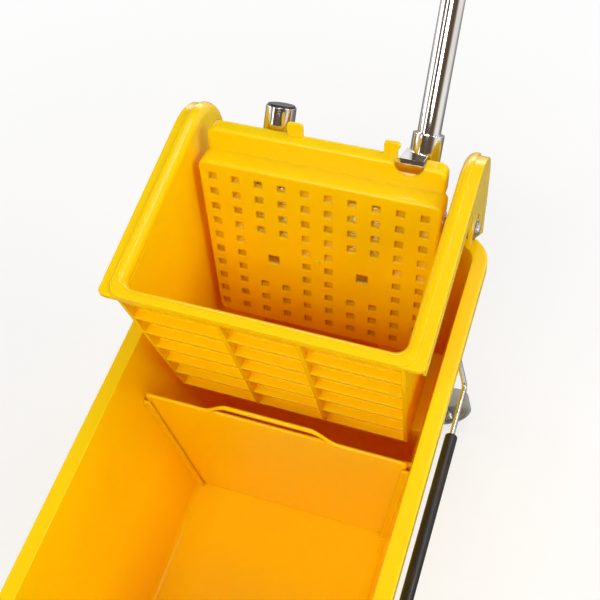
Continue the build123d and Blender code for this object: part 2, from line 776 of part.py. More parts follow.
# Lever yoke: pivot sleeve, two straps behind the plate and two handle sockets
def make_yoke():
    half = spring_span()[0] - seat_gap
    yoke = x_cylinder(-half, half, pivot_y, pivot_z, sleeve_radius)
    pivot = plate_frame.to_local_coords(Vector(0, pivot_y, pivot_z))
    back = -2 * plate_wall
    for x in (-bolt_offset, bolt_offset):
        low = bolt_level() - strap_width / 2
        high = pivot.Y + sleeve_radius
        place = Pos(x, (low + high) / 2, back - strap_thickness / 2)
        pad = place * Box(strap_width, high - low, strap_thickness)
        points = [(back, low + strap_width), (back, high), (pivot.Z, high)]
        points += [(pivot.Z, pivot.Y - sleeve_radius / 2)]
        side = Plane(origin=(x - web_thickness / 2, 0, 0), x_dir=(0, 0, 1), z_dir=(1, 0, 0))
        outline = make_face(Polyline(*[(w, -v) for w, v in points], close=True))
        web = extrude(side * outline, amount=web_thickness)
        yoke += plate_frame * (pad + web)
    for x in (spare_socket, handle_socket):
        yoke += cylinder_between(socket_point(x, 0), lever_dir, socket_diameter / 2, socket_reach)
    yoke += make_toe()
    yoke -= x_cylinder(-2 * half, 2 * half, pivot_y, pivot_z, bush_radius)
    for x in (spare_socket, handle_socket):
        mouth = socket_point(x, socket_reach - socket_depth)
        yoke -= cylinder_between(mouth, lever_dir, handle_diameter / 2 + fixed_gap, socket_depth)
    bolt_hole = Cylinder(bolt_diameter / 2 + fixed_gap, 4 * strap_thickness)
    for x in (-bolt_offset, bolt_offset):
        yoke -= plate_frame * Pos(x, bolt_level(), back) * bolt_hole
    return yoke


def make_toe():
    """The half-round toe in the plate's notch and the gusset that ties it to the handle socket."""
    radius = notch_radius - toe_gap
    start = plate_frame * Pos(notch_place, toe_level, -ledge_depth)
    toe = start * extrude(Circle(radius), amount=-toe_thickness)
    toe -= start * Pos(0, radius, 0) * Box(4 * radius, 2 * radius, 4 * toe_thickness)
    root = plate_frame.from_local_coords((0, toe_level, -ledge_depth - toe_thickness / 2))
    foot = plate_frame.from_local_coords((0, toe_level - gusset_depth / 2, -ledge_depth - toe_thickness / 2))
    upper, lower = socket_point(0, gusset_reach), socket_point(0, gusset_reach - gusset_depth)
    points = [(root.Y, root.Z), (upper[1], upper[2]), (lower[1], lower[2]), (foot.Y, foot.Z)]
    half = radius - gusset_inset
    return toe + side_profile(points, notch_place - half, notch_place + half)


def socket_point(x, reach):
    """A point on a socket's axis at a distance from the pivot."""
    y = pivot_y + reach * lever_dir[1] + socket_ahead * lever_side[1]
    z = pivot_z + reach * lever_dir[2] + socket_ahead * lever_side[2]
    return (x, y, z)


def make_bushes():
    half = spring_span()[0] - seat_gap
    bush = x_cylinder(half - bush_length, half, pivot_y, pivot_z, bush_radius)
    bush -= x_cylinder(0, 2 * half, pivot_y, pivot_z, rod_radius + run_gap)
    return both_sides(bush)


def make_handle():
    start = socket_point(handle_socket, socket_reach - socket_depth + seat_gap)
    length = handle_length - socket_reach + socket_depth - seat_gap - handle_wall
    tube = cylinder_between(start, lever_dir, handle_diameter / 2, length)
    return tube - cylinder_between(start, lever_dir, handle_diameter / 2 - handle_wall, length)


def make_grip():
    start = socket_point(handle_socket, handle_length - grip_length)
    grip = cylinder_between(start, lever_dir, grip_diameter / 2, grip_length)
    ends = grip.edges().filter_by(GeomType.CIRCLE).sort_by(Axis(start, lever_dir))
    grip = fillet(ends[-1], grip_diameter / 4)
    grip = fillet(grip.edges().filter_by(GeomType.CIRCLE).sort_by(Axis(start, lever_dir))[0], handle_wall)
    bore = grip_length - handle_wall
    return grip - cylinder_between(start, lever_dir, handle_diameter / 2 + fixed_gap, bore)


def make_cap():
    start = socket_point(spare_socket, socket_reach)
    plug_start = socket_point(spare_socket, socket_reach - socket_depth / 2)
    cap = cylinder_between(start, lever_dir, socket_diameter / 2 - cap_inset, cap_dome)
    rim = cap.edges().filter_by(GeomType.CIRCLE).sort_by(Axis(start, lever_dir))[-1]
    cap = fillet(rim, cap_dome * 0.8)
    return cap + cylinder_between(plug_start, lever_dir, handle_diameter / 2, socket_depth / 2)


def make_bolts():
    bolts = []
    for x in (-bolt_offset, bolt_offset):
        place = plate_frame * Pos(x, bolt_level(), 0)
        head = Pos(0, 0, -0.75 * plate_wall) * Box(bolt_square, bolt_square, plate_wall / 2)
        reach = 2 * plate_wall + strap_thickness + bolt_diameter
        shank = Pos(0, 0, -plate_wall) * extrude(Circle(bolt_diameter / 2), amount=-reach + plate_wall)
        bolts.append(place * (head + shank))
    return bolts[0] + bolts[1]


def make_bolt_nuts():
    nuts = []
    back = -2 * plate_wall - strap_thickness
    for x in (-bolt_offset, bolt_offset):
        place = plate_frame * Pos(x, bolt_level(), back)
        hexagon = RegularPolygon(plate_nut_across / 2, 6, major_radius=False)
        nut = extrude(hexagon, amount=-plate_nut_height)
        nuts.append(place * (nut - Cylinder(bolt_diameter / 2 + fixed_gap, 4 * bolt_diameter)))
    return nuts[0] + nuts[1]


def all_parts():
    """Every piece by its node name."""
    spring = make_spring()
    parts = {
        "tub": make_tub(),
        "divider": make_divider(),
        "wringer_basket": make_basket(),
        "pivot_rod": make_rod(),
        "pivot_washers": make_washers(),
        "pivot_nuts": make_nuts(),
        "return_spring_right": spring,
        "return_spring_left": mirror(spring, about=Plane.YZ),
        "press_plate": make_plate(),
        "lever_yoke": make_yoke(),
        "pivot_bushes": make_bushes(),
        "handle_tube": make_handle(),
        "handle_grip": make_grip(),
        "socket_cap": make_cap(),
        "plate_bolts": make_bolts(),
        "plate_nuts": make_bolt_nuts(),
    }
    wire, grip = make_bail_wire(), make_bail_grip()
    for side, turned in (("right", False), ("left", True)):
        parts[f"bail_wire_{side}"] = mirror(wire, about=Plane.YZ) if turned else wire
        parts[f"bail_grip_{side}"] = mirror(grip, about=Plane.YZ) if turned else grip
    caster = {
        "stem": make_stem(),
        "fork": make_fork(),
        "axle": make_axle(),
        "hub": make_hub(),
        "tyre": make_tyre(),
    }
    for end, y in (("front", -caster_y), ("rear", caster_y)):
        for side, x in (("left", -caster_x), ("right", caster_x)):
            for name, piece in caster.items():
                turn = 0 if name == "stem" else caster_turn
                parts[f"caster_{name}_{end}_{side}"] = Pos(x, y, 0) * Rot(0, 0, turn) * piece
    return parts


os.makedirs("parts", exist_ok=True)
for node, solid in all_parts().items():
    export_step(solid, os.path.join("parts", f"{node}.step"))
    print(node, len(solid.solids()), round(solid.volume / 1000, 2), "cm3")
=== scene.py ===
import bmesh
import bpy
import json
from math import cos, pi, radians, sin, tau
from mathutils import Matrix, Vector


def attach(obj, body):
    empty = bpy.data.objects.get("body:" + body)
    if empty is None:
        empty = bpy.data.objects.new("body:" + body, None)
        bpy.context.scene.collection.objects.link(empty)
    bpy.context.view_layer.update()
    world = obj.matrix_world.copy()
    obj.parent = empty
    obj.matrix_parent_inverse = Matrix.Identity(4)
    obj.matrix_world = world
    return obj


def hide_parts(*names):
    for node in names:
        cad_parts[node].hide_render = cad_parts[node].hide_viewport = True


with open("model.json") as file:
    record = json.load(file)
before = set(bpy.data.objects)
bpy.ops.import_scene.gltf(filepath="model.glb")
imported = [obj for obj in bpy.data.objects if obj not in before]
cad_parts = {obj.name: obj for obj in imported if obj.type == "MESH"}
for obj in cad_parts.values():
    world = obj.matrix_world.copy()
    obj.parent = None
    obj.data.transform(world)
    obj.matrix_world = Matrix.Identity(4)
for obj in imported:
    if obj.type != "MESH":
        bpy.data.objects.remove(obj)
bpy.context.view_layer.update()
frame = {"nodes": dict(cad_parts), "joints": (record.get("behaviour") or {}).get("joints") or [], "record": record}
nodes = frame["nodes"]
slotOf = {part["node"]: part["material_slot"] for part in frame["record"]["subparts"]}
scene = bpy.context.scene


# Small helpers for node trees

noiseSpan = (0.3, 0.7)     # where most values of a noise lie


def addNode(tree, kind, **settings):
    node = tree.nodes.new(kind)
    for key, value in settings.items():
        setattr(node, key, value)
    return node


def wire(tree, *links):
    for source, target in links:
        tree.links.new(source, target)


def noiseOn(tree, scale, detail, stretch=(1, 1, 1)):
    # noise on the piece's own coordinates, in metres
    coords = addNode(tree, "ShaderNodeTexCoord")
    mapping = addNode(tree, "ShaderNodeMapping")
    mapping.inputs["Scale"].default_value = stretch
    noise = addNode(tree, "ShaderNodeTexNoise")
    noise.inputs["Scale"].default_value = scale
    noise.inputs["Detail"].default_value = detail
    wire(tree, (coords.outputs["Object"], mapping.inputs["Vector"]),
         (mapping.outputs["Vector"], noise.inputs["Vector"]))
    return noise.outputs["Fac"]


def rampFrom(tree, source, stops):
    ramp = addNode(tree, "ShaderNodeValToRGB")
    marks = ramp.color_ramp.elements
    for mark, (position, color) in zip((marks[0], marks[1]), (stops[0], stops[-1])):
        mark.position = position
        mark.color = (*color, 1)
    for position, color in stops[1:-1]:
        marks.new(position).color = (*color, 1)
    wire(tree, (source, ramp.inputs["Fac"]))
    return ramp.outputs["Color"]


def rangeFrom(tree, source, low, high):
    spread = addNode(tree, "ShaderNodeMapRange")
    spread.inputs["From Min"].default_value, spread.inputs["From Max"].default_value = noiseSpan
    spread.inputs["To Min"].default_value = low
    spread.inputs["To Max"].default_value = high
    wire(tree, (source, spread.inputs["Value"]))
    return spread.outputs["Result"]


def bumpFrom(tree, source, strength, distance, under=None):
    bump = addNode(tree, "ShaderNodeBump")
    bump.inputs["Strength"].default_value = strength
    bump.inputs["Distance"].default_value = distance
    wire(tree, (source, bump.inputs["Height"]))
    if under:
        wire(tree, (under, bump.inputs["Normal"]))
    return bump.outputs["Normal"]


# Finishes: two tones that drift into each other, an uneven gloss, a fine grain and soft edges
# A noise is given as its scale and detail, a grain as its strength and height

def finishFrom(name, look):
    material = bpy.data.materials.new(name)
    material.use_nodes = True
    tree = material.node_tree
    skin = tree.nodes["Principled BSDF"]
    tone = rampFrom(tree, noiseOn(tree, *look["toneNoise"]), look["tones"])
    gloss = rangeFrom(tree, noiseOn(tree, *look["glossNoise"]), *look["gloss"])
    rounded = None
    if "edge" in look:
        soft = addNode(tree, "ShaderNodeBevel", samples=look["edgeSamples"])
        soft.inputs["Radius"].default_value = look["edge"]
        rounded = soft.outputs["Normal"]
    grain = bumpFrom(tree, noiseOn(tree, *look["grainNoise"]), *look["grain"], rounded)
    wire(tree, (tone, skin.inputs["Base Color"]), (gloss, skin.inputs["Roughness"]),
         (grain, skin.inputs["Normal"]))
    for socket, value in look["sockets"].items():
        skin.inputs[socket].default_value = value
    return material


yellowLook = {
    "tones": [(0.3, (0.98, 0.63, 0.001)), (0.7, (0.98, 0.645, 0.001))],
    "toneNoise": (7.0, 3.0, (1, 1, 0.45)),      # slow drift, drawn out along the height
    "gloss": (0.17, 0.21),
    "glossNoise": (55.0, 4.0),
    "grain": (0.04, 0.0004),
    "grainNoise": (900.0, 2.0),
    "edgeSamples": 6,
    "sockets": {"IOR": 1.49, "Specular IOR Level": 0.36, "Subsurface Radius": (1.0, 0.4, 0.02)},
}
yellowWalls = {                                 # rounding of the edges, light let in, and how far it goes
    "yellowPlastic": (0.0010, 0.3, 0.008),
    "yellowTub": (0.0018, 0.35, 0.008),
    "yellowPlate": (0.0020, 0.3, 0.008),
    "yellowCollar": (0.0002, 0.3, 0.004),
}


def yellowPlastic(name):
    edge, through, depth = yellowWalls[name]
    sockets = {**yellowLook["sockets"], "Subsurface Weight": through, "Subsurface Scale": depth}
    return finishFrom(name, {**yellowLook, "edge": edge, "sockets": sockets})


chromeLook = {
    "tones": [(0.35, (0.71, 0.68, 0.64)), (0.65, (0.80, 0.775, 0.745))],
    "toneNoise": (30.0, 3.0),
    "gloss": (0.03, 0.09),
    "glossNoise": (140.0, 4.0),
    "grain": (0.06, 0.0006),
    "grainNoise": (70.0, 2.0),
    "edge": 0.0006,
    "edgeSamples": 6,
    "sockets": {"Metallic": 1.0},
}
zincLook = {
    "tones": [(0.35, (0.48, 0.47, 0.45)), (0.65, (0.66, 0.65, 0.62))],
    "toneNoise": (90.0, 5.0),
    "gloss": (0.16, 0.34),
    "glossNoise": (260.0, 3.0),
    "grain": (0.08, 0.0003),
    "grainNoise": (700.0, 2.0),
    "edge": 0.0004,
    "edgeSamples": 4,
    "sockets": {"Metallic": 1.0},
}
blackPlasticLook = {
    "tones": [(0.35, (0.006, 0.005, 0.005)), (0.65, (0.016, 0.012, 0.010))],
    "toneNoise": (45.0, 3.0),
    "gloss": (0.28, 0.42),
    "glossNoise": (110.0, 3.0),
    "grain": (0.12, 0.0003),
    "grainNoise": (1100.0, 2.0),
    "sockets": {},
}
blackRubberLook = {
    "tones": [(0.35, (0.012, 0.012, 0.012)), (0.7, (0.030, 0.029, 0.028))],
    "toneNoise": (60.0, 4.0),
    "gloss": (0.55, 0.75),
    "glossNoise": (200.0, 3.0),
    "grain": (0.2, 0.0003),
    "grainNoise": (1400.0, 2.0),
    "sockets": {},
}
greyPlasticLook = {
    "tones": [(0.35, (0.30, 0.31, 0.30)), (0.65, (0.36, 0.37, 0.35))],
    "toneNoise": (40.0, 3.0),
    "gloss": (0.38, 0.52),
    "glossNoise": (150.0, 3.0),
    "grain": (0.1, 0.0003),
    "grainNoise": (900.0, 2.0),
    "sockets": {},
}
greyTyreLook = {
    "tones": [(0.35, (0.27, 0.275, 0.235)), (0.7, (0.36, 0.36, 0.31))],
    "toneNoise": (75.0, 5.0),
    "gloss": (0.55, 0.72),
    "glossNoise": (220.0, 3.0),
    "grain": (0.18, 0.0004),
    "grainNoise": (800.0, 3.0),
    "sockets": {},
}
finishes = {
    "yellow_plastic": yellowPlastic("yellowPlastic"),
    "chrome": finishFrom("chrome", chromeLook),
    "zinc_steel": finishFrom("zincSteel", zincLook),
    "black_plastic": finishFrom("blackPlastic", blackPlasticLook),
    "black_rubber": finishFrom("blackRubber", blackRubberLook),
    "grey_plastic": finishFrom("greyPlastic", greyPlasticLook),
    "grey_tyre": finishFrom("greyTyre", greyTyreLook),
}
nodeFinishes = {"tub": yellowPlastic("yellowTub"), "press_plate": yellowPlastic("yellowPlate")}
collarFinish = yellowPlastic("yellowCollar")
for name, node in nodes.items():
    node.data.materials.clear()
    node.data.materials.append(nodeFinishes.get(name, finishes[slotOf[name]]))
print("finishes made:", len(finishes))


# Pieces

crispAngle = radians(65)     # corners sharper than this are not shaded round


def pieceFrom(name, mesh, slot, body, finish=None):
    mesh.polygons.foreach_set("use_smooth", [True] * len(mesh.polygons))
    mesh.set_sharp_from_angle(angle=crispAngle)
    mesh.materials.clear()
    mesh.materials.append(finish or finishes[slot])
    piece = bpy.data.objects.new(name, mesh)
    scene.collection.objects.link(piece)
    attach(piece, body)
    return piece


def meshFrom(name, shape):
    # a plain mesh with its faces turned outwards
    bmesh.ops.recalc_face_normals(shape, faces=shape.faces)
    mesh = bpy.data.meshes.new(name)
    shape.to_mesh(mesh)
    shape.free()
    return mesh


def arcPoints(center, radius, start, end, count):
    turns = [start + (end - start) * i / count for i in range(count + 1)]
    return [(center[0] + radius * cos(turn), center[1] + radius * sin(turn)) for turn in turns]


# Divider panel: one moulded sheet with rounded edges and a hand-hold loop standing out of its top edge

dividerPlan = {
    "at": 0.0325,                # where the sheet stands along the tub
    "thickness": 0.0032,
    "edge": 0.0015,              # rounding of the outline
    "edgeSteps": 4,
    "faceInset": 0.0021,         # where the flat faces start, in from the outline
    "low": (0.0743, 0.0943),     # height and half width at the bottom
    "top": (0.2490, 0.1165),
    "lowCorner": 0.009,
    "lowCornerSteps": 6,
    "topCorner": 0.004,
    "topCornerSteps": 5,
    "loop": (-0.0630, 0.0580),   # from where to where the loop stands
    "loopRise": 0.0155,
    "loopRamp": 0.0240,
    "loopBar": 0.0046,
    "slotFloor": 0.2500,
    "slotTip": 0.0014,
    "slotTipSteps": 5,
    "slotTipCut": 0.2 * pi,      # how far short of upright a tip's arc stops
    "step": 0.0015,
}


def loopLine(plan):
    # upper line of the loop, from left to right: a soft ramp up, a level run and a soft ramp down
    left, right = plan["loop"]
    steps = int((right - left) / plan["step"])
    line = []
    for i in range(steps + 1):
        x = left + (right - left) * i / steps
        share = max(0.0, min(1.0, min(x - left, right - x) / plan["loopRamp"]))
        line.append((x, plan["top"][0] + plan["loopRise"] * share * share * (3 - 2 * share)))
    return line


def dividerOutline(plan):
    lowZ, lowHalf = plan["low"]
    topZ, topHalf = plan["top"]
    foot, footSteps = plan["lowCorner"], plan["lowCornerSteps"]
    shoulder, shoulderSteps = plan["topCorner"], plan["topCornerSteps"]
    points = arcPoints((-lowHalf + foot, lowZ + foot), foot, pi, 1.5 * pi, footSteps)
    points += arcPoints((lowHalf - foot, lowZ + foot), foot, 1.5 * pi, tau, footSteps)
    points += arcPoints((topHalf - shoulder, topZ - shoulder), shoulder, 0, 0.5 * pi, shoulderSteps)
    points += loopLine(plan)[::-1]
    points += arcPoints((-topHalf + shoulder, topZ - shoulder), shoulder, 0.5 * pi, pi, shoulderSteps)
    return points


def slotOutline(plan):
    tip, steps, cut = plan["slotTip"], plan["slotTipSteps"], plan["slotTipCut"]
    roof = [(x, z - plan["loopBar"]) for x, z in loopLine(plan)]
    roof = [point for point in roof if point[1] > plan["slotFloor"] + 2 * tip]
    tipZ = plan["slotFloor"] + tip
    points = arcPoints((roof[0][0], tipZ), tip, 0.5 * pi + cut, 1.5 * pi, steps)
    points += arcPoints((roof[-1][0], tipZ), tip, 1.5 * pi, 2.5 * pi - cut, steps)
    return points + roof[::-1]


def insetLine(points, inset):
    # the outline moved inwards, square to its own run
    moved = []
    for i, (x, z) in enumerate(points):
        before, after = points[i - 1], points[(i + 1) % len(points)]
        run = Vector((after[0] - before[0], after[1] - before[1])).normalized()
        moved.append((x - inset * run.y, z + inset * run.x))
    return moved


def makeDivider(plan):
    sheet = bmesh.new()
    half, edge, steps = plan["thickness"] / 2, plan["edge"], plan["edgeSteps"]
    turns = [0.5 * pi * i / steps for i in range(steps + 1)]
    section = [(plan["faceInset"], -half)]
    section += [(edge * (1 - sin(turn)), -half + edge * (1 - cos(turn))) for turn in turns]
    section += [(inset, -y) for inset, y in section[::-1]]
    faceEdges = ([], [])
    for outline, sign in ((dividerOutline(plan), 1), (slotOutline(plan), -1)):
        rings = []
        for inset, y in section:
            line = insetLine(outline, sign * inset)
            rings.append([sheet.verts.new((x, plan["at"] + y, z)) for x, z in line])
        for inner, outer in zip(rings, rings[1:]):
            for i in range(len(inner)):
                sheet.faces.new((inner[i - 1], inner[i], outer[i], outer[i - 1]))
        for side, ring in enumerate((rings[0], rings[-1])):
            faceEdges[side].extend(sheet.edges.get((ring[i - 1], ring[i])) for i in range(len(ring)))
    for edges in faceEdges:
        bmesh.ops.triangle_fill(sheet, edges=edges, use_beauty=True)
    piece = pieceFrom("dividerPanel", meshFrom("dividerPanel", sheet), "yellow_plastic", "divider")
    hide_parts("divider")


makeDivider(dividerPlan)
print("divider panel made")


# Repeated details, grown with Geometry Nodes

def newTree(name, sizes):
    tree = bpy.data.node_groups.new(name, "GeometryNodeTree")
    tree.interface.new_socket("Geometry", in_out="OUTPUT", socket_type="NodeSocketGeometry")
    for label, kind in sizes.items():
        tree.interface.new_socket(label, in_out="INPUT", socket_type="NodeSocket" + kind)
    return tree, addNode(tree, "NodeGroupInput").outputs


def closeTree(tree, made, material):
    real = addNode(tree, "GeometryNodeRealizeInstances")
    paint = addNode(tree, "GeometryNodeSetMaterial")
    paint.inputs["Material"].default_value = material
    result = addNode(tree, "NodeGroupOutput")
    wire(tree, (made, real.inputs["Geometry"]), (real.outputs["Geometry"], paint.inputs["Geometry"]),
         (paint.outputs["Geometry"], result.inputs["Geometry"]))
    return tree


def growPiece(name, tree, sizes, place, slot, body, finish=None):
    seed = bpy.data.objects.new(name + "Seed", bpy.data.meshes.new(name + "Seed"))
    scene.collection.objects.link(seed)
    grow = seed.modifiers.new("grow", "NODES")
    grow.node_group = tree
    for socket in tree.interface.items_tree:
        if socket.in_out == "INPUT":
            grow[socket.identifier] = sizes[socket.name]
    bpy.context.view_layer.update()
    grown = bpy.data.meshes.new_from_object(seed.evaluated_get(bpy.context.evaluated_depsgraph_get()))
    seed.modifiers.remove(grow)
    bpy.data.objects.remove(seed)
    shape = bmesh.new()
    shape.from_mesh(grown)
    bpy.data.meshes.remove(grown)
    mesh = meshFrom(name, shape)
    mesh.transform(place)
    return pieceFrom(name, mesh, slot, body, finish)


def along(start, axis):
    # a frame whose Z runs along the axis
    return Matrix.Translation(start) @ Vector(axis).to_track_quat("Z", "Y").to_matrix().to_4x4()


def upward(tree, length):
    # a vector of that length along Z
    vector = addNode(tree, "ShaderNodeCombineXYZ")
    wire(tree, (length, vector.inputs["Z"]))
    return vector.outputs["Vector"]


def circle(tree, sides, radius):
    ring = addNode(tree, "GeometryNodeCurvePrimitiveCircle")
    ring.inputs["Resolution"].default_value = sides
    wire(tree, (radius, ring.inputs["Radius"]))
    return ring.outputs["Curve"]


def sweepOn(tree, path, section, points, caps=False):
    # the section swept along the path, once at every point
    sweep = addNode(tree, "GeometryNodeCurveToMesh")
    sweep.inputs["Fill Caps"].default_value = caps
    spread = addNode(tree, "GeometryNodeInstanceOnPoints")
    wire(tree, (path, sweep.inputs["Curve"]), (section, sweep.inputs["Profile Curve"]),
         (points, spread.inputs["Points"]), (sweep.outputs["Mesh"], spread.inputs["Instance"]))
    return spread.outputs["Instances"]


ringSides = {"ring": 56, "section": 8}


def ringRow(material):
    # rings one behind the other along Z
    tree, given = newTree("ringRow", {"Count": "Int", "Pitch": "Float",
                                      "Radius": "Float", "Section": "Float"})
    line = addNode(tree, "GeometryNodeMeshLine")
    wire(tree, (given["Count"], line.inputs["Count"]),
         (upward(tree, given["Pitch"]), line.inputs["Offset"]))
    ring = circle(tree, ringSides["ring"], given["Radius"])
    section = circle(tree, ringSides["section"], given["Section"])
    return closeTree(tree, sweepOn(tree, ring, section, line.outputs["Mesh"]), material)


threadSides = 6
threadEnds = 2


def threadPair(material):
    # a few turns of thread at each end of a rod along Z
    tree, given = newTree("threadPair", {"Apart": "Float", "Turns": "Float", "Length": "Float",
                                         "Radius": "Float", "Section": "Float"})
    line = addNode(tree, "GeometryNodeMeshLine")
    line.inputs["Count"].default_value = threadEnds
    spiral = addNode(tree, "GeometryNodeCurveSpiral")
    wire(tree, (upward(tree, given["Apart"]), line.inputs["Offset"]),
         (given["Turns"], spiral.inputs["Rotations"]), (given["Length"], spiral.inputs["Height"]),
         (given["Radius"], spiral.inputs["Start Radius"]), (given["Radius"], spiral.inputs["End Radius"]))
    section = circle(tree, threadSides, given["Section"])
    thread = sweepOn(tree, spiral.outputs["Curve"], section, line.outputs["Mesh"], caps=True)
    return closeTree(tree, thread, material)


def rectangle(tree, width, height):
    shape = addNode(tree, "GeometryNodeCurvePrimitiveQuadrilateral")
    wire(tree, (width, shape.inputs["Width"]), (height, shape.inputs["Height"]))
    return shape.outputs["Curve"]


def near(tree, value, middle, reach):
    test = addNode(tree, "ShaderNodeMath", operation="COMPARE")
    wire(tree, (value, test.inputs[0]), (middle, test.inputs[1]), (reach, test.inputs[2]))
    return test.outputs[0]


def collarGrid(material):
    # square collars on a grid in XY, with a bare patch on each side of the middle
    tree, given = newTree("collarGrid", {"Columns": "Int", "Rows": "Int", "Across": "Float", "Up": "Float",
                                         "Width": "Float", "Height": "Float",
                                         "Wall": "Float", "Depth": "Float",
                                         "Bare X": "Float", "Bare Y": "Float",
                                         "Bare Half X": "Float", "Bare Half Y": "Float"})
    grid = addNode(tree, "GeometryNodeMeshGrid")
    where = addNode(tree, "GeometryNodeInputPosition")
    split = addNode(tree, "ShaderNodeSeparateXYZ")
    aside = addNode(tree, "ShaderNodeMath", operation="ABSOLUTE")
    both = addNode(tree, "ShaderNodeMath", operation="MULTIPLY")
    clear = addNode(tree, "GeometryNodeDeleteGeometry", domain="POINT")
    wire(tree, (given["Across"], grid.inputs["Size X"]), (given["Up"], grid.inputs["Size Y"]),
         (given["Columns"], grid.inputs["Vertices X"]), (given["Rows"], grid.inputs["Vertices Y"]),
         (where.outputs["Position"], split.inputs["Vector"]), (split.outputs["X"], aside.inputs[0]))
    wire(tree, (near(tree, aside.outputs[0], given["Bare X"], given["Bare Half X"]), both.inputs[0]),
         (near(tree, split.outputs["Y"], given["Bare Y"], given["Bare Half Y"]), both.inputs[1]),
         (grid.outputs["Mesh"], clear.inputs["Geometry"]), (both.outputs[0], clear.inputs["Selection"]))
    path = rectangle(tree, given["Width"], given["Height"])
    section = rectangle(tree, given["Wall"], given["Depth"])
    return closeTree(tree, sweepOn(tree, path, section, clear.outputs["Geometry"]), material)


gripPlan = {
    "start": (0.0756, 0.41625, 0.60373),     # lowest rib, on the lever's axis
    "axis": (0, 0.6428, 0.7660),
    "sizes": {"Count": 16, "Pitch": 0.0058, "Radius": 0.0129, "Section": 0.0010},
}
growPiece("gripRibs", ringRow(finishes["black_rubber"]), gripPlan["sizes"],
          along(gripPlan["start"], gripPlan["axis"]), "black_rubber", "press")

tyrePlan = {
    "faceAt": -0.0100,                       # inner side of the tyre, from the wheel's middle
    "sizes": {"Count": 2, "Pitch": 0.0200, "Radius": 0.0206, "Section": 0.0005},
}
tyreRow = ringRow(finishes["grey_tyre"])
for joint in frame["joints"]:
    if joint["name"].startswith("spin_"):
        wheel = joint["child"]
        axis = Vector(joint["axis"]).normalized()
        face = Vector(joint["pos_m"]) + tyrePlan["faceAt"] * axis
        growPiece("tyreRings" + wheel.replace("wheel", ""), tyreRow, tyrePlan["sizes"], along(face, axis),
                  "grey_tyre", wheel)

threadPlan = {
    "start": (-0.1284, 0.2070, 0.3420),      # left end of the pivot rod
    "axis": (1, 0, 0),
    "sizes": {"Apart": 0.2555, "Turns": 1.6, "Length": 0.0013, "Radius": 0.0050, "Section": 0.00028},
}
growPiece("rodThreads", threadPair(finishes["zinc_steel"]), threadPlan["sizes"],
          along(threadPlan["start"], threadPlan["axis"]), "zinc_steel", "wringer")

plateFrame = {
    "center": (0.0, 0.1676, 0.3017),         # middle of the press plate's front face
    "lean": radians(10.3),
    "wall": 0.0030,
    "lap": 0.0001,                           # how far the collars start inside the plate's back
    "strapAt": 0.0400,                       # the yoke's straps, either side of the middle
}
collarSizes = {"Rows": 10, "Up": 0.14857, "Width": 0.0083, "Height": 0.0086, "Wall": 0.0011}
# full ones all over the plate, none in front of the straps
holeGrid = {**collarSizes, "Columns": 10, "Across": 0.1800, "Depth": 0.0065,
            "Bare X": plateFrame["strapAt"], "Bare Y": 0.0, "Bare Half X": 0.0150, "Bare Half Y": 1.0}
# shallow ones in front of a strap, none around its bolt
strapGrid = {**collarSizes, "Columns": 2, "Across": 0.0200, "Depth": 0.0028,
             "Bare X": 0.0100, "Bare Y": -0.00825, "Bare Half X": 0.0050, "Bare Half Y": 0.0200}


def onPlate(plan, x, up, out):
    # a frame on the press plate: X across, Y up the plate, Z out of its face
    rise, slope = cos(plan["lean"]), sin(plan["lean"])
    turn = Matrix(((1, 0, 0), (0, slope, -rise), (0, rise, slope)))
    return Matrix.Translation(plan["center"]) @ turn.to_4x4() @ Matrix.Translation((x, up, out))


def growCollars(name, sizes, x):
    drop = plateFrame["wall"] + sizes["Depth"] / 2 - plateFrame["lap"]
    growPiece(name, collarTree, sizes, onPlate(plateFrame, x, 0, -drop), "yellow_plastic", "press",
              collarFinish)


collarTree = collarGrid(collarFinish)
growCollars("holeCollars", holeGrid, 0)
growCollars("strapCollarsLeft", strapGrid, -plateFrame["strapAt"])
growCollars("strapCollarsRight", strapGrid, plateFrame["strapAt"])
print("ribs, tyre rings, threads and hole collars grown")


# Gate mark: the small round scar where the press plate's mould was filled

gatePlan = {
    "sides": 28,
    "profile": [(0.0009, 0.0003), (0.0014, 0.0008), (0.0022, 0.0009), (0.0029, 0.0006), (0.0033, -0.0004)],
}


def makeGateMark(plan):
    shape = bmesh.new()
    turns = [tau * i / plan["sides"] for i in range(plan["sides"])]
    rings = []
    for radius, height in plan["profile"]:
        rings.append([shape.verts.new((radius * cos(turn), radius * sin(turn), height)) for turn in turns])
    for inner, outer in zip(rings, rings[1:]):
        for i in range(len(inner)):
            shape.faces.new((inner[i - 1], outer[i - 1], outer[i], inner[i]))
    shape.faces.new(rings[0])
    shape.faces.new(rings[-1][::-1])
    mesh = meshFrom("gateMark", shape)
    mesh.transform(onPlate(plateFrame, 0, 0, 0))
    pieceFrom("gateMark", mesh, "yellow_plastic", "press")


makeGateMark(gatePlan)
print("gate mark made")


# Floor, light and camera

stagePlan = {
    "floorRadius": 14.0,
    "floorSides": 128,
    "floorTone": 0.92,
    "seenNear": (0.35, 0.62),      # distance from the middle, and how white the floor looks there
    "seenFar": (1.3, 1.0),
    "shineNear": (0.5, 0.16),      # the same in reflections, dimmed close to the object as a painted shadow
    "shineFar": (1.9, 1.0),
}


def fadeBy(tree, distance, close, far):
    fade = addNode(tree, "ShaderNodeMapRange", interpolation_type="SMOOTHSTEP")
    fade.inputs["From Min"].default_value, fade.inputs["To Min"].default_value = close
    fade.inputs["From Max"].default_value, fade.inputs["To Max"].default_value = far
    wire(tree, (distance, fade.inputs["Value"]))
    return fade.outputs["Result"]


def clamped(tree, kind, first, second):
    step = addNode(tree, "ShaderNodeMath", operation=kind, use_clamp=True)
    wire(tree, (first, step.inputs[0]), (second, step.inputs[1]))
    return step.outputs[0]


